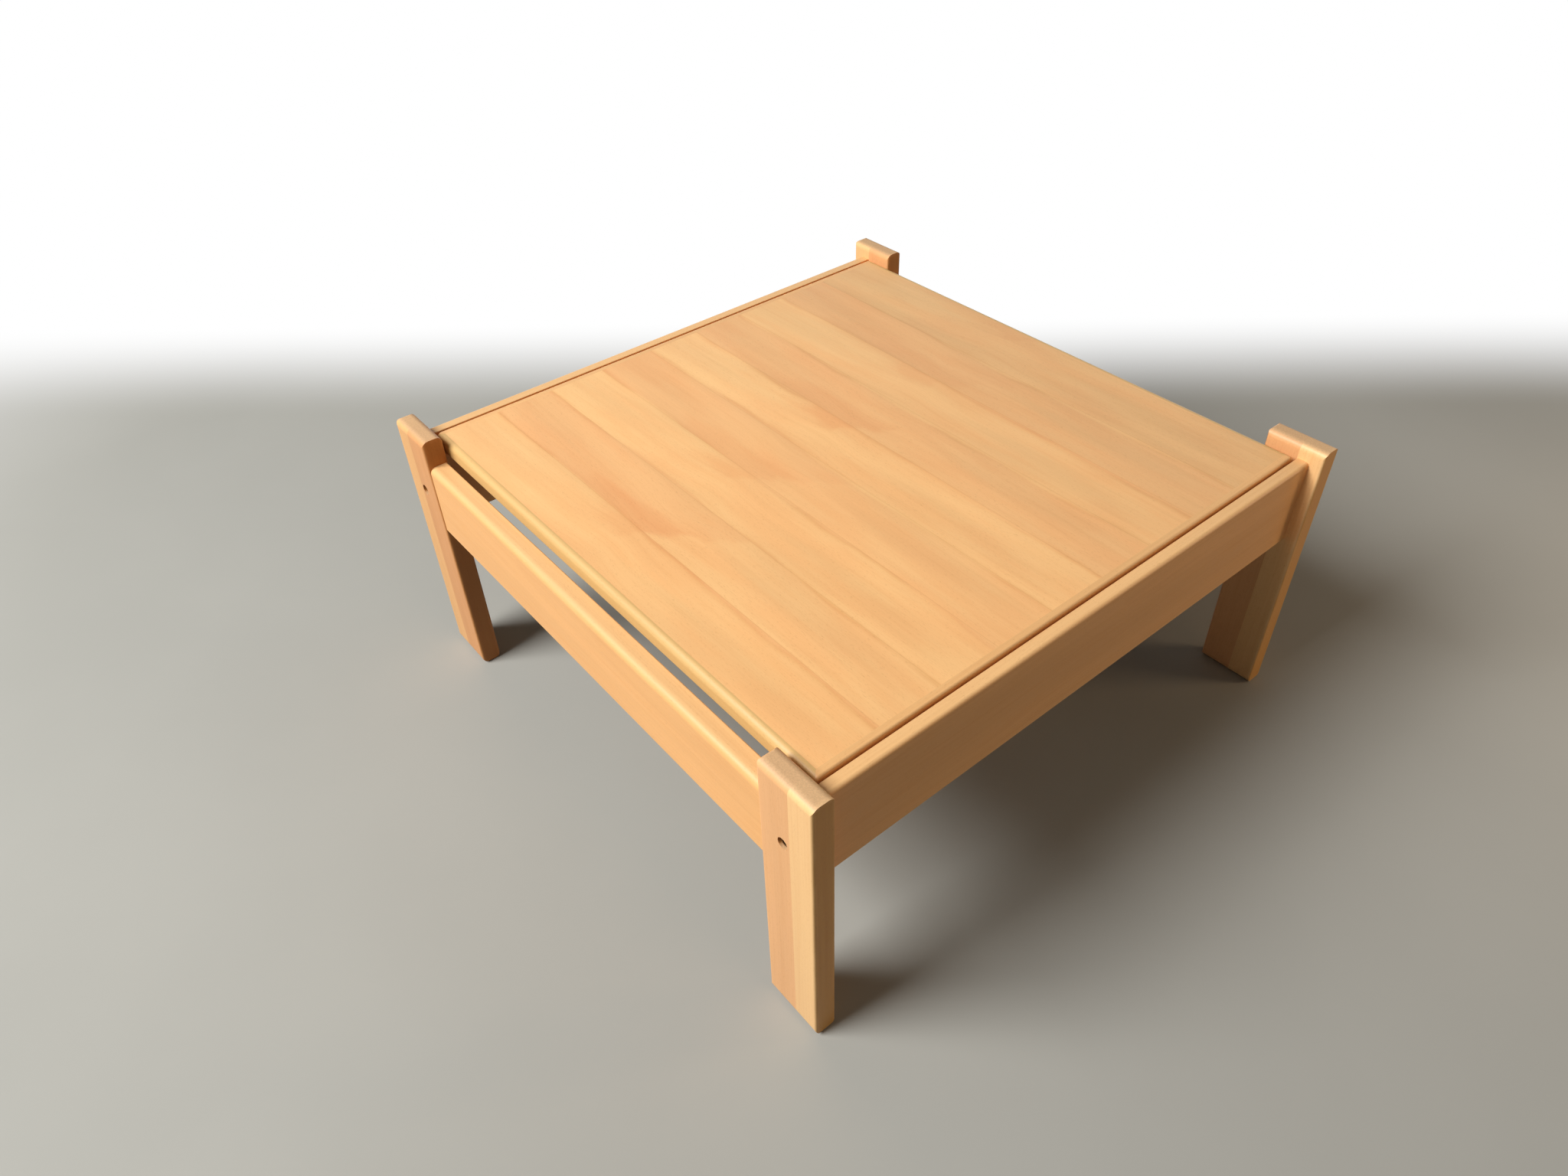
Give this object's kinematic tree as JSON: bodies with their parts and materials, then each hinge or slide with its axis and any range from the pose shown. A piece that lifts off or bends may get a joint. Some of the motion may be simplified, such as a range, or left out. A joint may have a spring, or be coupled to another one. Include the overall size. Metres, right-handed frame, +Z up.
{
  "type": "low square table",
  "caption": "Low square wooden table: plank legs that rise past a loose drop-in veneered top, glued rails, and rebated rails bolted between the legs.",
  "frame": {"origin": "on the floor under the middle of the table", "axes": "+Z up; +X along the glued rails, towards the right side seen from the front; +Y along the bolted rails, towards the back; the front is the -Y side"},
  "size_m": [0.75, 0.75, 0.35],
  "materials": {
    "outer_stave_wood": "satin oiled beech, lighter and yellower",
    "inner_stave_wood": "satin oiled beech, a little redder",
    "rail_wood": "satin oiled beech",
    "light_leaf_veneer": "satin lacquered veneer",
    "dark_leaf_veneer": "satin lacquered veneer, turned over so that it reflects darker",
    "core_board": "bare particle board",
    "backing_veneer": "matt plain veneer",
    "lipping_wood": "satin lacquered solid wood",
    "bronzed_steel": "dark bronze plating on steel",
    "zinc_plated_steel": "dull zinc plating"
  },
  "bodies": {
    "frame": {"front_left_leg_outer_stave": "outer_stave_wood", "front_left_leg_inner_stave": "inner_stave_wood", "front_right_leg_outer_stave": "outer_stave_wood", "front_right_leg_inner_stave": "inner_stave_wood", "back_right_leg_outer_stave": "outer_stave_wood", "back_right_leg_inner_stave": "inner_stave_wood", "back_left_leg_outer_stave": "outer_stave_wood", "back_left_leg_inner_stave": "inner_stave_wood", "front_glued_rail": "rail_wood", "back_glued_rail": "rail_wood", "left_bolted_rail": "rail_wood", "right_bolted_rail": "rail_wood", "leg_bolts": "bronzed_steel", "bolt_washers": "bronzed_steel", "barrel_nuts": "zinc_plated_steel"},
    "top": {"board_core": "core_board", "board_backing_veneer": "backing_veneer", "board_face_leaf_01": "light_leaf_veneer", "board_face_leaf_02": "dark_leaf_veneer", "board_face_leaf_03": "light_leaf_veneer", "board_face_leaf_04": "dark_leaf_veneer", "board_face_leaf_05": "light_leaf_veneer", "board_face_leaf_06": "dark_leaf_veneer", "board_face_leaf_07": "light_leaf_veneer", "board_face_leaf_08": "dark_leaf_veneer", "board_face_leaf_09": "light_leaf_veneer", "board_front_lipping": "lipping_wood", "board_right_lipping": "lipping_wood", "board_back_lipping": "lipping_wood", "board_left_lipping": "lipping_wood"}
  },
  "joints": [
    {"name": "top_lift", "type": "slide", "parent": "frame", "child": "top", "axis": [0, 0, 1], "range_m": [0, 0.06]}
  ]
}
